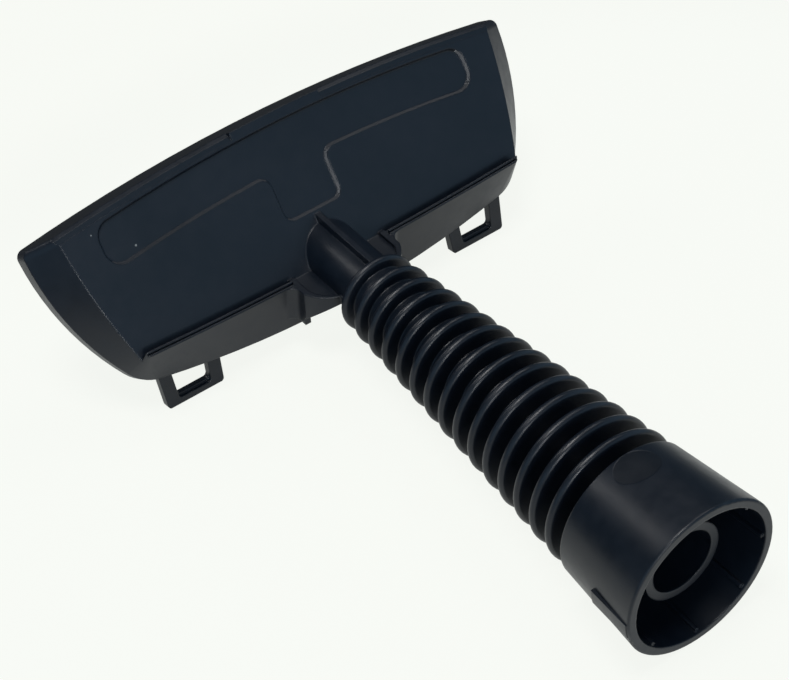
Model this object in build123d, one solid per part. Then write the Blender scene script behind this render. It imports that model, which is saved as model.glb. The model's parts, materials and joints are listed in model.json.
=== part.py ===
from build123d import *
import math
import os

os.makedirs("parts", exist_ok=True)

# Sizes in millimetres. The grip's axis runs along Y, the mouth looks along -Y, +Z is up.

# Collar: the socket that goes over the steam tube
RIM_R = 23.0            # outside radius at the mouth
COLLAR_TAPER = 2.6      # the radius falls by this much to where the rings end
COLLAR_LENGTH = 27.9
COLLAR_WALL = 2.5       # wall at the mouth
SOCKET_DRAFT_R = 1.4    # the socket narrows by this much towards its floor
SOCKET_FLOOR = 3.0      # plastic left between the socket and the first groove
RIM_EDGE_R = 0.6        # rounding of the mouth's outer edge

# Inner tube: the spigot in the middle of the socket
TUBE_R = 11.6
TUBE_BORE_R = 9.2
TUBE_SETBACK = 6.9      # how far its end lies behind the mouth
BORE_STRAIGHT = 20.0    # parallel stretch of the bore before it narrows

# Grip ribs inside the socket
GRIP_RIB_COUNT = 8
GRIP_RIB_HEIGHT = 0.8
GRIP_RIB_WIDTH = 1.1
GRIP_RIB_SETBACK = 0.8

# Raised bar on the collar's outside, just under the parting line
BAR_LENGTH = 14.0
BAR_HEIGHT = 0.8
BAR_WIDTH = 5.0

# Ring-finned grip
RING_COUNT = 15
RING_PITCH = 6.85
RING_FIRST_R = 11.9     # at the head
RING_LAST_R = 19.9      # at the collar
RING_CREST = 2.2        # thickness at the crest
RING_ROOT = 3.0         # thickness at the foot
RING_DOME = 0.8         # rise of the rounded crest
RING_TO_COLLAR = 6.0    # last ring's middle to the collar's back

# Core of the grip and neck
CORE_FIRST_R = 9.0
CORE_LAST_R = 12.0
NECK_R = 8.6
OUTLET_R = 6.0          # the steam bore where it meets the head
FIN_TOP = 10.8          # height of the upright fin over the axis
FIN_THICK = 1.8

# Head: an open dish set at an angle on the neck
PANEL_ANGLE = 55.5      # slope of the panel against the grip's axis
WORK_TILT = -3.0        # turn of the open side against the panel; minus lies flatter
HEAD_AHEAD = 29.1       # the panel's origin lies this far ahead of the first ring
HEAD_Z = 13.6           # and this far over the axis
HEAD_WALL = 2.2
FOLD_SHARE = 0.35       # inset of the inner fold line, as a share of the wall
KNEE_DEPTH = 7.7        # panel to the foot of the sloping sides
RIM_DEPTH = 12.4        # panel to the open side, at the head's origin
FRONT_MID = 27.2        # front wall, ahead of the head's origin, along the slope
FRONT_BOW = 5.6         # how far its ends fall back
HEAD_HALF = 78.8        # half of the width, at the front corners
RIM_END_IN = 3.4        # the end wall's middle lies this far inside that
RIM_END_S = -0.6
RIM_LOW_IN = 15.8       # where the end wall meets the rear wall
RIM_LOW_S = -24.4
RIM_LOW_MID = -30.6
PANEL_CORNER_IN = 7.9   # the same points on the panel's fold line
PANEL_CORNER_DROP = 4.7
PANEL_END_IN = 10.6
PANEL_END_S = 1.5
PANEL_LOW_IN = 16.3
PANEL_LOW_S = -18.9
PANEL_LOW_MID = -21.8
FRONT_CORNER_R = 2.5    # rounding of the two front corners
RIM_REAR_R = 12.0       # rounding of the two rear corners at the knee
PANEL_REAR_R = 3.0      # and on the panel
CHAMFER = 2.3           # bevel along the front edge
NOTCH_HALF = 14.6       # half of the plain stretch in the bevel's middle

# Lip: the rear wall stands up past the panel
LIP_RISE = 3.3
LIP_THICK = 1.6
LIP_CORNER_R = 1.0      # rounding of its two ends
LIP_EDGE = 0.55         # the groove along its top begins this far in
LIP_GROOVE = 0.5        # width and depth of the groove

# T-shaped sunk field in the panel
FIELD_DEPTH = 1.0
FIELD_SLOPE = 30.0      # its walls lean by this angle
FIELD_END_IN = 18.2     # its ends lie this far inside the head's half width
FIELD_TOP_MID = 24.2
FIELD_TOP_END = 20.4
FIELD_LOW_MID = 11.6
FIELD_LOW_END = 7.4
FIELD_END_R = 5.0
STEM_HALF = 9.4
STEM_LOW = -2.6
STEM_R = 3.0

# Side webs: the rear wall bends back beside the neck and runs to the first ring
WEB_TOP = 0.6           # top of the side wall over the axis
WEB_KERB = 1.0          # the level web lies this much lower
WEB_THICK = 1.8         # of the web and of its side wall
WEB_START_X = 9.0       # the side wall's outer face, from the first ring to the rear wall
WEB_START_Y = 4.8       # these three are measured from the first ring's middle
WEB_MID_X = 13.2
WEB_MID_Y = 7.3
WEB_END_X = 16.2
WEB_END_Y = 11.9
WEB_DEPTH = 9.4         # the side wall's lower edge under the axis, at the spur
SPUR_DEPTH = 11.6       # the spur's tip under the axis
SPUR_LENGTH = 4.0       # along the grip's axis
BEND_R = 3.0            # inside bend between the rear wall and the side wall

# Clip eyes: two upright frames that hang from the rear wall
EYE_END_IN = 20.8       # the outer leg lies this far inside the head's half width
EYE_WIDTH = 18.0
EYE_FLARE = 0.6         # each side spreads this much towards the wall
EYE_LEAN = 10.0         # the frame leans forward by this angle
EYE_PROUD = 1.7         # its front lies this far behind the rear wall's lower edge
EYE_SINK = 2.6          # its legs run this far up into the wall
EYE_THICK = 2.6
EYE_LEG = 3.9
EYE_BAR = 2.8
EYE_CORNER_R = 1.2
EYE_STEP = 0.9          # width and depth of the ledge on the bar's front

OVERLAP = 4.0           # how deep joined shapes run into each other

# Derived places along the grip
LAST_RING_Y = 0.0
FIRST_RING_Y = LAST_RING_Y + (RING_COUNT - 1) * RING_PITCH
COLLAR_BACK_Y = LAST_RING_Y - RING_TO_COLLAR
MOUTH_Y = COLLAR_BACK_Y - COLLAR_LENGTH
FLOOR_Y = COLLAR_BACK_Y - SOCKET_FLOOR
TUBE_END_Y = MOUTH_Y + TUBE_SETBACK
SOCKET_R = RIM_R - COLLAR_WALL
COLLAR_BACK_R = RIM_R - COLLAR_TAPER

HEAD_Y = FIRST_RING_Y + HEAD_AHEAD
SIN_P = math.sin(math.radians(PANEL_ANGLE))
COS_P = math.cos(math.radians(PANEL_ANGLE))
# x across, y up the slope, z out of the panel
HEAD = Plane(origin=(0, HEAD_Y, HEAD_Z), x_dir=(1, 0, 0), z_dir=(0, -SIN_P, COS_P))
WORK = HEAD.offset(-RIM_DEPTH).rotated((WORK_TILT, 0, 0))

# Corners of the head's outline, at the knee and on the panel
RIM_CORNER = (HEAD_HALF, FRONT_MID - FRONT_BOW)
RIM_END = (HEAD_HALF - RIM_END_IN, RIM_END_S)
RIM_LOW = (HEAD_HALF - RIM_LOW_IN, RIM_LOW_S)
PANEL_CORNER = (HEAD_HALF - PANEL_CORNER_IN, FRONT_MID - PANEL_CORNER_DROP)
PANEL_END = (HEAD_HALF - PANEL_END_IN, PANEL_END_S)
PANEL_LOW = (HEAD_HALF - PANEL_LOW_IN, PANEL_LOW_S)
FIELD_HALF = HEAD_HALF - FIELD_END_IN

# How far the rear wall runs up the slope for each step out of the panel
REAR_MID_RUN = (PANEL_LOW_MID - RIM_LOW_MID) / KNEE_DEPTH
REAR_END_RUN = (PANEL_LOW_S - RIM_LOW_S) / KNEE_DEPTH


def level(depth):
    """A plane parallel to the panel, depth under its outer face."""
    return HEAD.offset(-depth)


def ring_radius(i):
    share = i / (RING_COUNT - 1)
    return RING_FIRST_R + (RING_LAST_R - RING_FIRST_R) * share


def ring_y(i):
    return FIRST_RING_Y - i * RING_PITCH


def core_radius(y):
    share = (FIRST_RING_Y - y) / (FIRST_RING_Y - COLLAR_BACK_Y)
    return CORE_FIRST_R + (CORE_LAST_R - CORE_FIRST_R) * share


def turned(edges):
    """Turns a closed outline of radius and Y about the grip's axis."""
    return revolve(make_face(edges), axis=Axis.Y)


def grip():
    """Core, ring fins, collar and inner tube, turned in one profile without the bore."""
    edges = []
    at = (0, FIRST_RING_Y + RING_ROOT / 2)

    def to(point):
        nonlocal at
        edges.append(Line(at, point))
        at = point

    to((core_radius(at[1]), at[1]))
    for i in range(RING_COUNT):
        y = ring_y(i)
        r = ring_radius(i)
        shoulder = r - RING_DOME
        to((core_radius(y), y + RING_ROOT / 2))
        to((shoulder, y + RING_CREST / 2))
        end = (shoulder, y - RING_CREST / 2)
        edges.append(ThreePointArc(at, (r, y), end))
        at = end
        to((core_radius(y), y - RING_ROOT / 2))
    to((CORE_LAST_R, COLLAR_BACK_Y))
    to((COLLAR_BACK_R, COLLAR_BACK_Y))
    to((RIM_R, MOUTH_Y))
    to((SOCKET_R, MOUTH_Y))
    to((SOCKET_R - SOCKET_DRAFT_R, FLOOR_Y))
    to((TUBE_R, FLOOR_Y))
    to((TUBE_R, TUBE_END_Y))
    to((0, TUBE_END_Y))
    to((0, FIRST_RING_Y + RING_ROOT / 2))
    edges = [e for e in edges if e.length > 1e-6]
    return turned(edges)


def rounded_rim(body):
    """Rounds the mouth's outer edge."""
    circles = body.edges().filter_by(GeomType.CIRCLE)
    at_mouth = circles.group_by(Axis.Y)[0]
    outer = at_mouth.sort_by(SortBy.RADIUS)[-1]
    return fillet(outer, RIM_EDGE_R)


def grip_ribs():
    """Thin ribs that hold the steam tube, evenly round the socket and as high all along."""
    near = MOUTH_Y + GRIP_RIB_SETBACK
    far = FLOOR_Y + SOCKET_FLOOR / 2

    def wall(y):
        return SOCKET_R - SOCKET_DRAFT_R * (y - MOUTH_Y) / (FLOOR_Y - MOUTH_Y)

    foot = COLLAR_WALL / 4
    section = Polyline((wall(near) - GRIP_RIB_HEIGHT, near), (wall(near) + foot, near),
                       (wall(far) + foot, far), (wall(far) - GRIP_RIB_HEIGHT, far), close=True)
    rib = extrude(make_face(section.edges()), GRIP_RIB_WIDTH / 2, both=True)
    turn = 360 / GRIP_RIB_COUNT
    return [Rot(0, i * turn, 0) * rib for i in range(GRIP_RIB_COUNT)]


def collar_bar():
    """The raised bar under the parting line on the left, cut to the collar's cone."""
    lean = (RIM_R - COLLAR_BACK_R) / COLLAR_LENGTH
    start_y = MOUTH_Y + BAR_LENGTH
    start_r = RIM_R - lean * BAR_LENGTH + BAR_HEIGHT
    end_r = RIM_R + BAR_HEIGHT - RIM_EDGE_R
    inside = SOCKET_R + COLLAR_WALL / 3
    end_y = MOUTH_Y + RIM_EDGE_R
    section = Polyline((inside, start_y), (start_r, start_y), (end_r, end_y), (inside, end_y), close=True)
    place = (Align.CENTER, Align.MIN, Align.MAX)
    keep = Pos(-RIM_R, MOUTH_Y, 0) * Box(RIM_R, COLLAR_LENGTH, BAR_WIDTH, align=place)
    return turned(section.edges()) & keep


def neck():
    """Plain tube from the first ring into the head."""
    inside = HEAD_Y + OVERLAP
    section = Polyline((0, FIRST_RING_Y), (NECK_R, FIRST_RING_Y), (NECK_R, inside), (0, inside), close=True)
    return turned(section.edges())


def fin():
    """Upright fin from the first ring to the panel."""
    inside = HEAD_Y + OVERLAP
    side = Polyline((FIRST_RING_Y, 0), (inside, 0), (inside, FIN_TOP), (FIRST_RING_Y, FIN_TOP), close=True)
    return extrude(Plane.YZ * make_face(side.edges()), FIN_THICK / 2, both=True)


def web_plan(inset):
    """One side web seen from above, its outer edge drawn in by inset."""
    front = HEAD_Y
    start = (WEB_START_X - inset, FIRST_RING_Y + WEB_START_Y)
    middle = (WEB_MID_X - inset, FIRST_RING_Y + WEB_MID_Y)
    end = (WEB_END_X - inset, FIRST_RING_Y + WEB_END_Y)
    near = Polyline((0, FIRST_RING_Y), (start[0], FIRST_RING_Y), start).edges()
    far = Polyline(end, (end[0], front), (0, front), (0, FIRST_RING_Y)).edges()
    return make_face(near + [ThreePointArc(start, middle, end)] + far)


def side_web():
    """Level web with a side wall that deepens towards the rear wall and ends in a spur."""
    floor = WEB_TOP - WEB_KERB
    under = floor - WEB_THICK
    start = FIRST_RING_Y + WEB_START_Y
    spur_y = HEAD_Y + PANEL_LOW_MID * COS_P - SPUR_LENGTH
    tall = extrude(Pos(0, 0, WEB_TOP) * web_plan(0), -(WEB_TOP + SPUR_DEPTH))
    side = Polyline((FIRST_RING_Y, WEB_TOP), (FIRST_RING_Y, under), (start, under), (spur_y, -WEB_DEPTH),
                    (spur_y, -SPUR_DEPTH), (HEAD_Y, -SPUR_DEPTH), (HEAD_Y, WEB_TOP), close=True)
    tall &= extrude(Plane.YZ * make_face(side.edges()), 2 * WEB_END_X, both=True)
    inside = web_plan(WEB_THICK)
    tall -= extrude(Pos(0, 0, floor) * inside, 2 * WEB_KERB)
    return tall - extrude(Pos(0, 0, under) * inside, -2 * SPUR_DEPTH)


def rear_bend():
    """Hollow round in the inside corner between the rear wall and the side wall."""
    share = ((WEB_END_X + BEND_R) / PANEL_LOW[0]) ** 2
    top_s = PANEL_LOW_MID + (PANEL_LOW_S - PANEL_LOW_MID) * share
    knee_s = RIM_LOW_MID + (RIM_LOW_S - RIM_LOW_MID) * share
    lean = math.degrees(math.atan((top_s - knee_s) / KNEE_DEPTH))
    wall = HEAD * Pos(0, top_s, 0) * Rot(-lean, 0, 0)
    tall = LIP_RISE / math.cos(math.radians(lean))
    corner = Box(BEND_R, BEND_R + HEAD_WALL, 4 * tall, align=(Align.MIN, Align.MAX, Align.CENTER))
    block = Pos(WEB_END_X, HEAD_WALL, 0) * corner
    block -= Pos(WEB_END_X + BEND_R, -BEND_R, 0) * Cylinder(BEND_R, 5 * tall)
    block = wall * block
    keep = Pos(0, HEAD_Y, WEB_TOP) * Box(4 * WEB_END_X, HEAD_Y, WEB_TOP + SPUR_DEPTH,
                                         align=(Align.CENTER, Align.CENTER, Align.MAX))
    return block & keep


def webs():
    """Both side webs with their bends, ended at the lip so that nothing stands on the panel."""
    wide = 4 * WEB_END_X
    lip_inside = PANEL_LOW_MID + REAR_MID_RUN * LIP_RISE + LIP_THICK
    space = Box(wide, wide, wide, align=(Align.CENTER, Align.MIN, Align.MIN))
    past_lip = HEAD * Pos(0, lip_inside, 0) * space
    one = side_web() + rear_bend() - past_lip
    return [one, mirror(one, Plane.YZ)]


def outline(depth, corner, end, low, low_mid, rear_r, inset):
    """Head outline on one level: bowed front, two bowed ends, bowed rear, rounded corners."""
    cx, cs = corner[0] - inset, corner[1] - inset
    ex, es = end[0] - inset, end[1]
    lx, ls = low[0] - inset, low[1] + inset
    front = ThreePointArc((-cx, cs), (0, FRONT_MID - inset), (cx, cs))
    right = ThreePointArc((cx, cs), (ex, es), (lx, ls))
    rear = ThreePointArc((lx, ls), (0, low_mid + inset), (-lx, ls))
    left = ThreePointArc((-lx, ls), (-ex, es), (-cx, cs))
    face = make_face([front, right, rear, left])
    face = fillet(face.vertices().sort_by(Axis.Y)[-2:], FRONT_CORNER_R)
    face = fillet(face.vertices().sort_by(Axis.Y)[:2], rear_r - inset)
    return level(depth) * face


def carried_up(point, foot):
    """A corner of the panel's outline carried on along its side up to the lip's top."""
    share = LIP_RISE / KNEE_DEPTH
    return [p + (p - f) * share for p, f in zip(point, foot)]


def lip_strip(rise, near, far):
    """Strip along the rear wall on one level, from near to far inside the wall's outer face."""
    mid = PANEL_LOW_MID + REAR_MID_RUN * rise
    end = PANEL_LOW_S + REAR_END_RUN * rise
    half = HEAD_HALF
    tip = mid + (end - mid) * (half / PANEL_LOW[0]) ** 2
    rear = ThreePointArc((-half, tip + near), (0, mid + near), (half, tip + near))
    right = Line((half, tip + near), (half, tip + far))
    front = ThreePointArc((half, tip + far), (0, mid + far), (-half, tip + far))
    left = Line((-half, tip + far), (-half, tip + near))
    return level(-rise) * make_face([rear, right, front, left])


def above_panel():
    """Everything past the panel but the lip, which has a gap for the neck and a groove in its top."""
    wide = 4 * HEAD_HALF
    past = 2 * LIP_RISE
    space = HEAD * Box(wide, wide, past, align=(Align.CENTER, Align.CENTER, Align.MIN))
    lip = loft([lip_strip(-past, -OVERLAP, LIP_THICK), lip_strip(past, -OVERLAP, LIP_THICK)], ruled=True)
    lip -= HEAD * Pos(0, PANEL_LOW_MID, 0) * Box(2 * WEB_END_X, 8 * LIP_RISE, 8 * LIP_RISE)
    low = LIP_RISE - LIP_GROOVE
    groove_end = LIP_EDGE + LIP_GROOVE
    groove = loft([lip_strip(low, LIP_EDGE, groove_end), lip_strip(past, LIP_EDGE, groove_end)], ruled=True)
    return space - (lip - groove)


def head_outside():
    """The dish's outside: upright band, sloping sides above the knee, and the lip past the panel."""
    knee = outline(KNEE_DEPTH, RIM_CORNER, RIM_END, RIM_LOW, RIM_LOW_MID, RIM_REAR_R, 0)
    corner = carried_up(PANEL_CORNER, RIM_CORNER)
    end = carried_up(PANEL_END, RIM_END)
    low = carried_up(PANEL_LOW, RIM_LOW)
    low_mid = PANEL_LOW_MID + REAR_MID_RUN * LIP_RISE
    top = outline(-LIP_RISE, corner, end, low, low_mid, LIP_CORNER_R, 0)
    return loft([knee, top], ruled=True) + extrude(knee, -2 * RIM_DEPTH) - above_panel()


def dish_inside():
    """The hollow: the outside drawn in by the wall, less the back of the sunk field."""
    knee = outline(KNEE_DEPTH, RIM_CORNER, RIM_END, RIM_LOW, RIM_LOW_MID, RIM_REAR_R, HEAD_WALL)
    fold = HEAD_WALL * FOLD_SHARE
    top = outline(HEAD_WALL, PANEL_CORNER, PANEL_END, PANEL_LOW, PANEL_LOW_MID, PANEL_REAR_R, fold)
    hollow = loft([knee, top], ruled=True) + extrude(knee, -2 * RIM_DEPTH)
    return hollow - extrude(field(HEAD_WALL), -FIELD_DEPTH)


def working_side():
    """Everything past the open side's plane."""
    wide = 4 * HEAD_HALF
    return WORK * Box(wide, wide, 2 * RIM_DEPTH, align=(Align.CENTER, Align.CENTER, Align.MAX))


def front_bevel():
    """Cutter for the bevel along the bowed front edge, left out in the plain middle."""
    bow_r = (HEAD_HALF**2 + FRONT_BOW**2) / (2 * FRONT_BOW)
    past = bow_r + CHAMFER
    section = Polyline((bow_r - CHAMFER, 0), (past, 0), (past, -2 * CHAMFER), close=True)
    turn = math.degrees(2 * math.asin(HEAD_HALF / bow_r))
    centre = HEAD * Pos(0, FRONT_MID - bow_r, 0) * Rot(0, 0, 90 - turn / 2)
    ring = revolve(Plane.XZ * make_face(section.edges()), axis=Axis.Z, revolution_arc=turn)
    middle = HEAD * Pos(0, FRONT_MID, 0) * Box(2 * NOTCH_HALF, 4 * CHAMFER, 4 * CHAMFER)
    return centre * ring - middle


def field(depth):
    """The T-shaped field's outline on one level."""
    fall = (FIELD_LOW_MID - FIELD_LOW_END) / FIELD_HALF**2

    def low(x):
        return FIELD_LOW_MID - fall * x * x

    between = (FIELD_HALF + STEM_HALF) / 2
    end = low(FIELD_HALF)
    root = low(STEM_HALF)
    top = ThreePointArc((-FIELD_HALF, FIELD_TOP_END), (0, FIELD_TOP_MID), (FIELD_HALF, FIELD_TOP_END))
    right_end = Line((FIELD_HALF, FIELD_TOP_END), (FIELD_HALF, end))
    right_low = ThreePointArc((FIELD_HALF, end), (between, low(between)), (STEM_HALF, root))
    stem = Polyline((STEM_HALF, root), (STEM_HALF, STEM_LOW), (-STEM_HALF, STEM_LOW), (-STEM_HALF, root))
    left_low = ThreePointArc((-STEM_HALF, root), (-between, low(between)), (-FIELD_HALF, end))
    left_end = Line((-FIELD_HALF, end), (-FIELD_HALF, FIELD_TOP_END))
    face = make_face([top, right_end, right_low] + stem.edges() + [left_low, left_end])
    face = fillet([v for v in face.vertices() if abs(v.X) < between], STEM_R)
    face = fillet([v for v in face.vertices() if abs(v.X) > between], FIELD_END_R)
    return level(depth) * face


def rear_edge(x):
    """Height and place along the axis of the rear wall's lower edge, at one distance from the middle."""
    s = RIM_LOW_MID + (RIM_LOW_S - RIM_LOW_MID) * (x / RIM_LOW[0]) ** 2
    n = s * math.tan(math.radians(WORK_TILT)) - RIM_DEPTH
    return HEAD_Z + s * SIN_P + n * COS_P, HEAD_Y + s * COS_P - n * SIN_P


def clip_eyes():
    """Two upright frames, each of two legs and a bar with a ledge along its upper edge."""
    outer = HEAD_HALF - EYE_END_IN
    inner = outer - EYE_WIDTH
    lean = math.radians(EYE_LEAN)
    edge_z, edge_y = rear_edge((inner + outer) / 2)
    height = (RIM_R + edge_z + EYE_SINK) / math.cos(lean)
    foot_y = edge_y - EYE_PROUD - (RIM_R + edge_z) * math.tan(lean)
    ahead = (0, -math.cos(lean), math.sin(lean))
    upright = Plane(origin=(0, foot_y, -RIM_R), x_dir=(1, 0, 0), z_dir=ahead)

    def side(inset, low):
        foot = EYE_FLARE * low / height - inset
        head = EYE_FLARE - inset
        corners = Polyline((inner - foot, low), (outer + foot, low), (outer + head, height),
                           (inner - head, height), close=True)
        face = make_face(corners.edges())
        return fillet(face.vertices().sort_by(Axis.Y)[:2], EYE_CORNER_R)

    eye = extrude(side(0, 0), -EYE_THICK)
    eye -= extrude(side(EYE_LEG, EYE_BAR), -EYE_THICK)
    eye -= extrude(side(EYE_LEG, EYE_BAR - EYE_STEP), -EYE_STEP)
    eye = upright * eye
    return [eye, mirror(eye, Plane.YZ)]


def steam_bore():
    """Passage from the inner tube's end into the dish: parallel at first, then tapered."""
    near = TUBE_END_Y
    bend = near + BORE_STRAIGHT
    far = HEAD_Y + OVERLAP
    parallel = Polyline((0, near), (TUBE_BORE_R, near), (TUBE_BORE_R, bend)).edges()
    tapered = Polyline((TUBE_BORE_R, bend), (OUTLET_R, far), (0, far), (0, near)).edges()
    return turned(parallel + tapered)


def nozzle():
    """The whole moulding, with the grip's axis still on Y."""
    body = rounded_rim(grip())
    for piece in grip_ribs() + [collar_bar(), neck(), fin()] + webs():
        body += piece
    body += head_outside() - front_bevel()
    hollow = dish_inside()
    body -= hollow
    body -= working_side()
    body -= extrude(field(0), -FIELD_DEPTH, taper=FIELD_SLOPE)
    for eye in clip_eyes():
        body += eye - hollow
    return body - steam_bore()


def at_rest(body):
    """Faces the eyes' lowest edge level with the collar, and puts the part over the origin."""
    lowest = min(cone.bounding_box().min.Z for cone in body.faces().filter_by(GeomType.CONE))
    wide = 20 * RIM_R
    body -= Pos(0, 0, lowest) * Box(wide, wide, wide, align=(Align.CENTER, Align.CENTER, Align.MAX))
    box = body.bounding_box()
    return Pos(-box.center().X, -box.center().Y, -box.min.Z) * body


result = at_rest(nozzle())
export_step(result, "parts/nozzle_body.step")
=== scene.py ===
# %% [markdown]
# # A steam cleaner's brush nozzle
# The real object is one black plastic moulding: a wide open head on a tapered grip with ring
# fins, and a collar that is pushed over the steam tube. The construction model already has
# its form, so this lesson loads it as a fixed frame and works on what the eye adds to it: the
# satin skin, the softened edges, the mark of the mould, a little dust, the table, the light
# and the camera.

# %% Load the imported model
import json
import math

import bpy
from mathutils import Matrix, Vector


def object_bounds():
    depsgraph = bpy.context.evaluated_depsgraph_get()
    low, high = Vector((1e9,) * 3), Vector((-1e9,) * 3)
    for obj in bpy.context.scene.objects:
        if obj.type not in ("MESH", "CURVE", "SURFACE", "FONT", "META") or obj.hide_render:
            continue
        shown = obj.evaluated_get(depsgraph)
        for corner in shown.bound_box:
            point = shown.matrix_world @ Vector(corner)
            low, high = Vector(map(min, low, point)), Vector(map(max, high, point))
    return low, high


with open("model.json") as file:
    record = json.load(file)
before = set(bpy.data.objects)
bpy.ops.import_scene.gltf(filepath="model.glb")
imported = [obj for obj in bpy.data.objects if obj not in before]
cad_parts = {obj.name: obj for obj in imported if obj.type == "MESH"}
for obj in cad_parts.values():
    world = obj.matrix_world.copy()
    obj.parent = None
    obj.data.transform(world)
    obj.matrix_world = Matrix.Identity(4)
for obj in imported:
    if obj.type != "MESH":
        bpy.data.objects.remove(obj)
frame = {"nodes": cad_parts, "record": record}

cad_low, cad_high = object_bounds()
body = frame["nodes"]["nozzle_body"]
bpy.ops.object.select_all(action="DESELECT")
print("construction box, mm:", [round(1000 * v, 1) for v in cad_high - cad_low])
print("triangles in the moulding:", len(body.data.polygons))

# %% [markdown]
# ## Places on the part
# A finish that sits at one place, such as a mould mark, needs numbers to sit at. All of them
# are in metres in the model's own frame: the grip's axis runs along Y at one height, the
# collar's mouth is the lowest Y, and the head is the highest. The record and the box give
# these two. The head's sloped panel gets a frame of its own: a point on it, the way up its
# slope to the front edge, and the way out of it. Its slope and place are written here as in
# the source, because neither the record nor the box holds them.

# %% Axis, mouth and panel
MM = 0.001
axis_z = frame["record"]["mounts"][0]["pos_m"][2]
mouth_y = cad_low.y
SLOPE = math.radians(55.5)
PANEL = Vector((0, 66.05 * MM, 36.54 * MM))
AHEAD = Vector((0, math.cos(SLOPE), math.sin(SLOPE)))
OUT = Vector((0, -math.sin(SLOPE), math.cos(SLOPE)))
print("axis height, mm:", round(axis_z / MM, 2), " mouth at y, mm:", round(mouth_y / MM, 2))
print("panel's slope, degrees:", round(math.degrees(SLOPE), 1))

# %% [markdown]
# ## Small tools for node trees
# A node tree is easier to read as a sum than as a web, so these few helpers add one node each
# and hand back the socket that the next line needs. A value may be a plain number or another
# node's socket. Building the same trees by hand in the shader editor gives the same result.

# %% Node helpers
def add(tree, kind, **values):
    node = tree.nodes.new(kind)
    for key, value in values.items():
        setattr(node, key, value)
    return node


def feed(tree, socket, value):
    if isinstance(value, bpy.types.NodeSocket):
        tree.links.new(value, socket)
    else:
        socket.default_value = value


def maths(tree, operation, first, second=0.0):
    node = add(tree, "ShaderNodeMath", operation=operation)
    feed(tree, node.inputs[0], first)
    feed(tree, node.inputs[1], second)
    return node.outputs[0]


def product(tree, first, *others):
    for value in others:
        first = maths(tree, "MULTIPLY", first, value)
    return first


def vectors(tree, operation, first, second=(0, 0, 0)):
    node = add(tree, "ShaderNodeVectorMath", operation=operation)
    feed(tree, node.inputs[0], first)
    feed(tree, node.inputs[1], second)
    gives_number = operation in ("LENGTH", "DISTANCE", "DOT_PRODUCT")
    return node.outputs["Value" if gives_number else "Vector"]


def spread(tree, value, low, high, to_low, to_high):
    node = add(tree, "ShaderNodeMapRange", interpolation_type="SMOOTHSTEP")
    labels = ("From Min", "From Max", "To Min", "To Max")
    for label, number in zip(labels, (low, high, to_low, to_high)):
        node.inputs[label].default_value = number
    feed(tree, node.inputs["Value"], value)
    return node.outputs["Result"]


def mix(tree, factor, first, second):
    node = add(tree, "ShaderNodeMix", data_type="RGBA")
    feed(tree, node.inputs["Factor"], factor)
    feed(tree, node.inputs[6], first)
    feed(tree, node.inputs[7], second)
    return node.outputs[2]


def noise(tree, coords, scale, detail, rough=0.5):
    node = add(tree, "ShaderNodeTexNoise")
    node.inputs["Scale"].default_value = scale
    node.inputs["Detail"].default_value = detail
    node.inputs["Roughness"].default_value = rough
    feed(tree, node.inputs["Vector"], coords)
    return node.outputs["Fac"]


def new_group(name, inputs, outputs):
    group = bpy.data.node_groups.new(name, "ShaderNodeTree")
    for label, kind in inputs:
        group.interface.new_socket(name=label, in_out="INPUT", socket_type="NodeSocket" + kind)
    for label, kind in outputs:
        group.interface.new_socket(name=label, in_out="OUTPUT", socket_type="NodeSocket" + kind)
    return group, group.nodes.new("NodeGroupInput"), group.nodes.new("NodeGroupOutput")


print("helpers ready")

# %% [markdown]
# ## Grain and tone of the moulded skin
# Injection moulded polypropylene is never one flat black. The steel of the mould leaves a
# fine matt grain, and the melt leaves slow changes of tone and gloss. Both could be painted,
# but noise read from Object coordinates needs no unwrapping and stays fixed to the part. It
# is one node group, so that other finishes can use it too.

# %% Node group: moulded skin
skin, skin_in, skin_out = new_group(
    "moulded skin",
    [("Coords", "Vector"), ("Dark", "Color"), ("Light", "Color")],
    [("Colour", "Color"), ("Roughness", "Float"), ("Height", "Float")])
coords = skin_in.outputs["Coords"]
slow = noise(skin, coords, 45, 3)
cloud = noise(skin, coords, 260, 4, 0.6)
grain = noise(skin, coords, 1500, 2, 0.6)
tone = maths(skin, "ADD",
             spread(skin, slow, 0.3, 0.7, 0, 0.65),
             spread(skin, cloud, 0.3, 0.7, 0, 0.35))
rough = maths(skin, "ADD",
              spread(skin, slow, 0.3, 0.7, 0.32, 0.38),
              spread(skin, cloud, 0.35, 0.65, -0.025, 0.025))
colour = mix(skin, tone, skin_in.outputs["Dark"], skin_in.outputs["Light"])
feed(skin, skin_out.inputs["Colour"], colour)
feed(skin, skin_out.inputs["Roughness"], rough)
feed(skin, skin_out.inputs["Height"], grain)
print("moulded skin:", len(skin.nodes), "nodes")

# %% [markdown]
# ## The mark on the collar
# On top of the collar the photograph shows a faint oval, the print of an ejector or a feed
# point in the mould: a shallow step with a slightly deeper black inside. It is far too
# shallow to be worth geometry, so a mask draws it. The mask measures how far a point lies
# from the oval's middle in plan, and a second test of the radius keeps it off the socket's
# inner wall, which lies under the same spot.

# %% Node group: collar mark
MARK = (-0.7 * MM, mouth_y + 22.9 * MM, axis_z)
MARK_HALF = (6.5 * MM, 5.0 * MM)
MARK_RADIUS = 20.0 * MM

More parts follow.
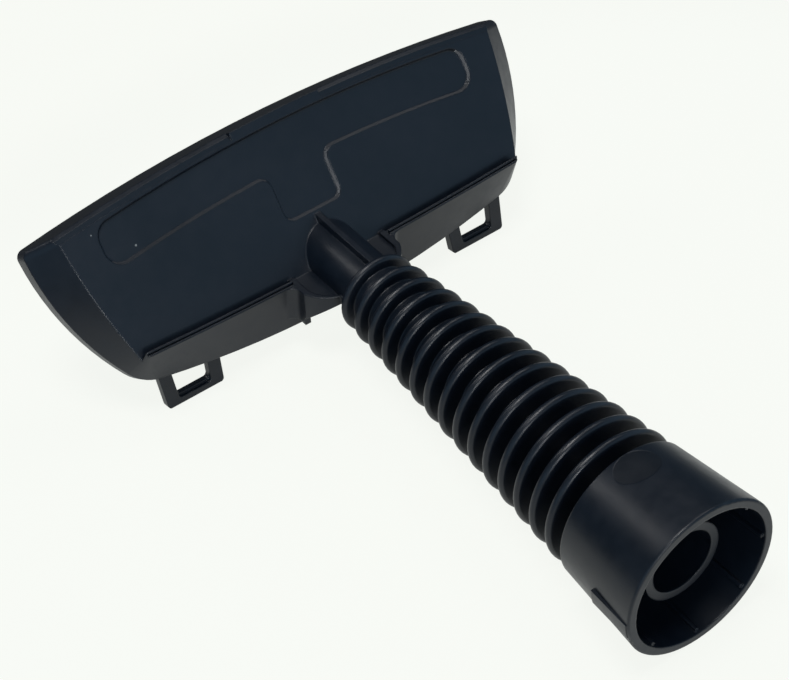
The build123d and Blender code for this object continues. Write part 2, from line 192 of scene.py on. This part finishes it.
mark, mark_in, mark_out = new_group("collar mark", [("Coords", "Vector")], [("Inside", "Float")])
offset = vectors(mark, "SUBTRACT", mark_in.outputs["Coords"], MARK)
shares = vectors(mark, "MULTIPLY", offset, (1 / MARK_HALF[0], 1 / MARK_HALF[1], 0))
plan = vectors(mark, "LENGTH", shares)
radius = vectors(mark, "LENGTH", vectors(mark, "MULTIPLY", offset, (1, 0, 1)))
height = vectors(mark, "DOT_PRODUCT", offset, (0, 0, 1))
inside = product(mark,
                 spread(mark, plan, 0.94, 1.0, 1, 0),
                 spread(mark, radius, MARK_RADIUS, MARK_RADIUS + 0.2 * MM, 0, 1),
                 spread(mark, height, 0, 5 * MM, 0, 1))
feed(mark, mark_out.inputs["Inside"], inside)
print("collar mark:", [round(2 * v / MM, 1) for v in MARK_HALF], "mm across")

# %% [markdown]
# ## Dust
# A black part never lies clean for long. The photograph has four light specks on the panel,
# so four small dots stand at those places, each a distance from one point. They are lighter
# and quite matt, as lint is.

# %% Node group: dust specks
# Place and radius, in millimetres
SPECKS = [
    (-61.8, 76.8, 52.1, 0.28),
    (-51.3, 73.2, 45.1, 0.40),
    (47.4, 68.1, 37.7, 0.33),
    (26.7, 59.8, 25.8, 0.30)]

dust, dust_in, dust_out = new_group("dust specks", [("Coords", "Vector")], [("Mask", "Float")])
total = 0.0
for x, y, z, size in SPECKS:
    away = vectors(dust, "DISTANCE", dust_in.outputs["Coords"], (x * MM, y * MM, z * MM))
    dot = spread(dust, away, 0.5 * size * MM, size * MM, 1, 0)
    total = maths(dust, "MAXIMUM", dot, total)
feed(dust, dust_out.inputs["Mask"], total)
print("dust specks:", len(SPECKS))

# %% [markdown]
# ## Black plastic: colour and gloss
# The plastic is a blue-black satin. Its own colour is almost nothing; most of what the eye
# sees is the table and the room mirrored in the skin, so the roughness matters more than the
# colour. The front wall, past the front edge of the panel, faces a dark room and is the darkest
# and dullest face. Its deeper black is painted shade, and it also gets a more matt skin. It is
# found by where it lies and which way it faces. The shader stays in the material, and the
# groups feed it.

# %% Material: black plastic
DARK_BLACK = (0.0023, 0.0043, 0.0080, 1)
LIGHT_BLACK = (0.0035, 0.0062, 0.0112, 1)
SHADE_AND_MARK_BLACK = (0.0012, 0.0022, 0.0040, 1)
LINT_GREY = (0.16, 0.17, 0.17, 1)
FRONT_STRIP = (16 * MM, 17 * MM)  # the strip along the front edge begins here, up the slope


def looks_along(tree, facing, direction, low, high):
    return spread(tree, vectors(tree, "DOT_PRODUCT", facing, direction), low, high, 0, 1)


plastic = bpy.data.materials.new("black_plastic")
plastic.use_nodes = True
tree = plastic.node_tree
shader = tree.nodes["Principled BSDF"]
where = add(tree, "ShaderNodeTexCoord")
place, facing = where.outputs["Object"], where.outputs["Normal"]
look = add(tree, "ShaderNodeGroup", node_tree=skin)
oval = add(tree, "ShaderNodeGroup", node_tree=mark)
lint = add(tree, "ShaderNodeGroup", node_tree=dust)
for group in (look, oval, lint):
    feed(tree, group.inputs["Coords"], place)
look.inputs["Dark"].default_value = DARK_BLACK
look.inputs["Light"].default_value = LIGHT_BLACK
up_slope = vectors(tree, "DOT_PRODUCT", place, AHEAD)
ahead = spread(tree, maths(tree, "SUBTRACT", up_slope, PANEL.dot(AHEAD)), *FRONT_STRIP, 0, 1)
front = product(tree, ahead, looks_along(tree, facing, AHEAD, 0.93, 0.98), 0.8)
# Painted shade: the front wall's deeper black stands for the dark room it faces. The oval's share
# is the mould mark's own darker black.
shade_and_mark = maths(tree, "MAXIMUM", front, product(tree, oval.outputs["Inside"], 0.5))
shaded_and_marked = mix(tree, shade_and_mark, look.outputs["Colour"], SHADE_AND_MARK_BLACK)
feed(tree, shader.inputs["Base Color"], mix(tree, lint.outputs["Mask"], shaded_and_marked, LINT_GREY))
matt = product(tree, maths(tree, "MAXIMUM", lint.outputs["Mask"], front), 0.5)
feed(tree, shader.inputs["Roughness"], maths(tree, "ADD", look.outputs["Roughness"], matt))
shader.inputs["Specular IOR Level"].default_value = 0.36
body.data.materials.clear()
body.data.materials.append(plastic)
print("black plastic on", body.name)

# %% [markdown]
# ## Black plastic: edges and grain
# Moulded edges are never sharp. They could be rounded in the mesh, but that would change the
# construction model, so a Bevel node turns the normals near each edge, and every rim catches
# a thin line of light. The step of the collar's mark and the fine grain are bumps on top.

# %% Material: edges, mark and grain
edge = add(tree, "ShaderNodeBevel", samples=6)
edge.inputs["Radius"].default_value = 0.6 * MM
step = add(tree, "ShaderNodeBump")
step.inputs["Strength"].default_value = 0.5
step.inputs["Distance"].default_value = 0.10 * MM
feed(tree, step.inputs["Height"], maths(tree, "SUBTRACT", 1.0, oval.outputs["Inside"]))
feed(tree, step.inputs["Normal"], edge.outputs["Normal"])
fine = add(tree, "ShaderNodeBump")
fine.inputs["Strength"].default_value = 0.10
fine.inputs["Distance"].default_value = 0.05 * MM
feed(tree, fine.inputs["Height"], look.outputs["Height"])
feed(tree, fine.inputs["Normal"], step.outputs["Normal"])
print("edges rounded by", edge.inputs["Radius"].default_value / MM, "mm in shading")

# %% [markdown]
# ## The chamfer on the front edge
# Between the panel and the front wall runs a chamfer, a pale line about 1 mm wide in the
# photograph. The construction model's chamfer is about twice as wide, so its inner half is
# shaded as if it were still panel: there the normal is turned to the panel's own. This is a
# trick of shading only, and the form stays as it is. The half is found by its depth under the
# panel and by the way it faces.

# %% Material: chamfer
CHAMFER_HALF = (1.1 * MM, 1.3 * MM)  # depth under the panel where the shaded half ends


def lean(tree, normal, factor, direction):
    world = add(tree, "ShaderNodeVectorTransform", vector_type="NORMAL")
    world.convert_from, world.convert_to = "OBJECT", "WORLD"
    world.inputs["Vector"].default_value = direction
    turned = add(tree, "ShaderNodeMix", data_type="VECTOR")
    feed(tree, turned.inputs["Factor"], factor)
    feed(tree, turned.inputs[4], normal)
    feed(tree, turned.inputs[5], world.outputs["Vector"])
    return turned.outputs[1]


depth = maths(tree, "SUBTRACT", PANEL.dot(OUT), vectors(tree, "DOT_PRODUCT", place, OUT))
between = (AHEAD + OUT).normalized()
sloped = looks_along(tree, facing, between, 0.95, 0.97)
inner = product(tree, sloped, ahead, spread(tree, depth, *CHAMFER_HALF, 1, 0))
normal = lean(tree, fine.outputs["Normal"], inner, OUT)
print("chamfer's inner half shaded as panel")

# %% [markdown]
# ## The walls of the sunk field
# The panel's T-shaped field is sunk by 1 mm. In the photograph its lower walls are a pale
# line and its right walls a bright one, so on the real part they seem to be less steep than
# the model's and meet the lamps. Again in shading only, the normals of the lower walls are
# turned to half way between the panel and its slope, and those of the right walls to about
# 22 degrees off the panel's own.

# %% Material: field walls
LEFT = Vector((-1, 0, 0))
FIELD_TOP = (0.05 * MM, 0.15 * MM)  # depths under the panel between which the walls lie
FIELD_FOOT = (0.85 * MM, 0.95 * MM)

sunk = product(tree, spread(tree, depth, *FIELD_TOP, 0, 1), spread(tree, depth, *FIELD_FOOT, 1, 0))
upward = looks_along(tree, facing, AHEAD, 0.45, 0.62)
lower_walls = product(tree, sunk, upward, maths(tree, "SUBTRACT", 1.0, ahead))
normal = lean(tree, normal, lower_walls, between)
leftward = looks_along(tree, facing, LEFT, 0.50, 0.66)
on_right = spread(tree, vectors(tree, "DOT_PRODUCT", place, LEFT), -7 * MM, -5 * MM, 1, 0)
right_walls = product(tree, sunk, leftward, on_right)
normal = lean(tree, normal, right_walls, (OUT + 0.4 * LEFT).normalized())
feed(tree, shader.inputs["Normal"], normal)
print("black plastic:", len(tree.nodes), "nodes")

# %% [markdown]
# ## Table
# The part lies on a white table that runs out of the picture on every side. One large plane
# is enough, because nothing of it shows but its colour and a soft shadow. The photograph was
# exposed until the table was almost white. Adding light for that would bleach the part too,
# so the table shows its white to the camera by itself, mixed with a little of the lit
# surface, which keeps the shadow. That lit surface and the white that mirror rays see are a
# painted pool of light: pale and half white close to the part, near black farther out, so the
# rear wall mirrors pale table, and the front wall a dark room.

# %% Floor
# The table's colour, pale near the part and near black farther out, is a painted pool of light.
PAPER_IN_LIGHT_POOL = (0.62, 0.63, 0.60, 1)
PAPER_PAINTED_DARK = (0.05, 0.05, 0.05, 1)
TABLE_WHITE = (0.970, 0.990, 0.945, 1)
LIGHT_POOL_MIDDLE = (0.02, -0.06, 0)
LIGHT_POOL_EDGE = (0.20, 0.28)  # the near part of the table fades out between these distances

bpy.ops.mesh.primitive_plane_add(size=6, location=(0, 0, 0))
floor = bpy.context.object
floor.name = "table"
white = bpy.data.materials.new("white_table")
white.use_nodes = True
tree = white.node_tree
paper = tree.nodes["Principled BSDF"]
paper.inputs["Roughness"].default_value = 0.9
spot = add(tree, "ShaderNodeTexCoord").outputs["Object"]
# Painted pool of light: this mask fades the table's colour and its mirrored white away from the
# part.
light_pool = spread(tree, vectors(tree, "DISTANCE", spot, LIGHT_POOL_MIDDLE), *LIGHT_POOL_EDGE, 1, 0)
feed(tree, paper.inputs["Base Color"], mix(tree, light_pool, PAPER_PAINTED_DARK, PAPER_IN_LIGHT_POOL))
glow = add(tree, "ShaderNodeEmission")
glow.inputs["Color"].default_value = TABLE_WHITE
rays = add(tree, "ShaderNodeLightPath")
glossy, through = rays.outputs["Is Glossy Ray"], rays.outputs["Is Transmission Ray"]
half_white = product(tree, maths(tree, "MAXIMUM", glossy, through), light_pool, 0.5)
looked_at = product(tree, rays.outputs["Is Camera Ray"], spread(tree, light_pool, 0, 1, 0.96, 0.9))
both = add(tree, "ShaderNodeMixShader")
feed(tree, both.inputs[0], maths(tree, "MAXIMUM", looked_at, half_white))
feed(tree, both.inputs[1], paper.outputs[0])
feed(tree, both.inputs[2], glow.outputs[0])
feed(tree, tree.nodes["Material Output"].inputs["Surface"], both.outputs[0])
floor.data.materials.append(white)
print("table:", floor.dimensions.x, "m wide")

# %% [markdown]
# ## Room
# A dark glossy thing shows the room in its faces. The panel and the left end mirror what is
# behind the camera, the cool, even wall of a room, which gives them their blue-black tone.
# The grooves, the neck and the top of the collar mirror the ceiling and what lies beyond the
# part, and in the photograph they are deep, so the room is dark there. A picture of a room
# would do the same, but two colours and the direction are enough for faces this dull.

# %% World
ROOM_WALL = (0.38, 0.57, 0.75, 1)
ROOM_DARK = (0.06, 0.08, 0.10, 1)

scene = bpy.context.scene
world = bpy.data.worlds.new("room")
scene.world = world
world.use_nodes = True
tree = world.node_tree
toward = add(tree, "ShaderNodeSeparateXYZ")
feed(tree, toward.inputs[0], add(tree, "ShaderNodeTexCoord").outputs["Generated"])
behind = spread(tree, toward.outputs["Y"], 0.15, 0.6, 1, 0)
wall = spread(tree, toward.outputs["Z"], 0.42, 0.68, 1, 0)
lit = mix(tree, product(tree, behind, wall), ROOM_DARK, ROOM_WALL)
feed(tree, tree.nodes["Background"].inputs["Color"], lit)
print("room:", len(tree.nodes), "nodes")

# %% [markdown]
# ## Lamps
# Each lamp is placed by what mirrors it. The main soft box hangs overhead, where no large
# face mirrors it to the camera: it gives the plain level and the shadow. One to the left
# beyond the part is mirrored along the collar as one long soft highlight. One overhead to the
# right is mirrored in the chamfer and in the lower walls of the panel's shallow field, and a
# small low one in front on the left in the edges that face that way.

# %% Lamps
def soft_box(name, place, size, watts):
    bpy.ops.object.light_add(type="AREA", location=place)
    lamp = bpy.context.object
    lamp.name = name
    lamp.data.shape = "SQUARE"
    lamp.data.size = size
    lamp.data.energy = watts
    lamp.rotation_euler = (-Vector(place)).to_track_quat("-Z", "Y").to_euler()


soft_box("over_left", (-0.30, -0.10, 1.57), 0.55, 17)
soft_box("beyond_left", (-0.50, 1.15, 0.99), 0.35, 2.8)
soft_box("over_right", (0.63, 0.30, 1.31), 0.5, 3.2)
soft_box("low_front", (-0.32, -1.17, 0.45), 0.2, 4.5)

# %% [markdown]
# ## Camera
# The picture is taken from behind the grip, from the left and well above, with a long lens.
# The place and the turn of the camera were worked out from the rings, the rim and the head's
# edges: the circles and even spacing of the rings fix the view closely. The focal length came
# out in pixels, so it is turned into millimetres on a sensor 36 mm wide.

# %% Camera
FOCAL_PX, WIDTH_PX, SENSOR = 2265, 789, 36

bpy.ops.object.camera_add(
    location=(-0.24431, mouth_y - 0.24862, axis_z + 0.41658),
    rotation=(math.radians(45.910), math.radians(3.374), math.radians(-36.542)))
camera = bpy.context.object
camera.name = "view"
camera.data.sensor_fit = "HORIZONTAL"
camera.data.sensor_width = SENSOR
camera.data.lens = SENSOR * FOCAL_PX / WIDTH_PX
camera.data.clip_start = 0.01
scene.camera = camera
scene.view_settings.view_transform = "Standard"
print("lens, mm:", round(camera.data.lens, 2))
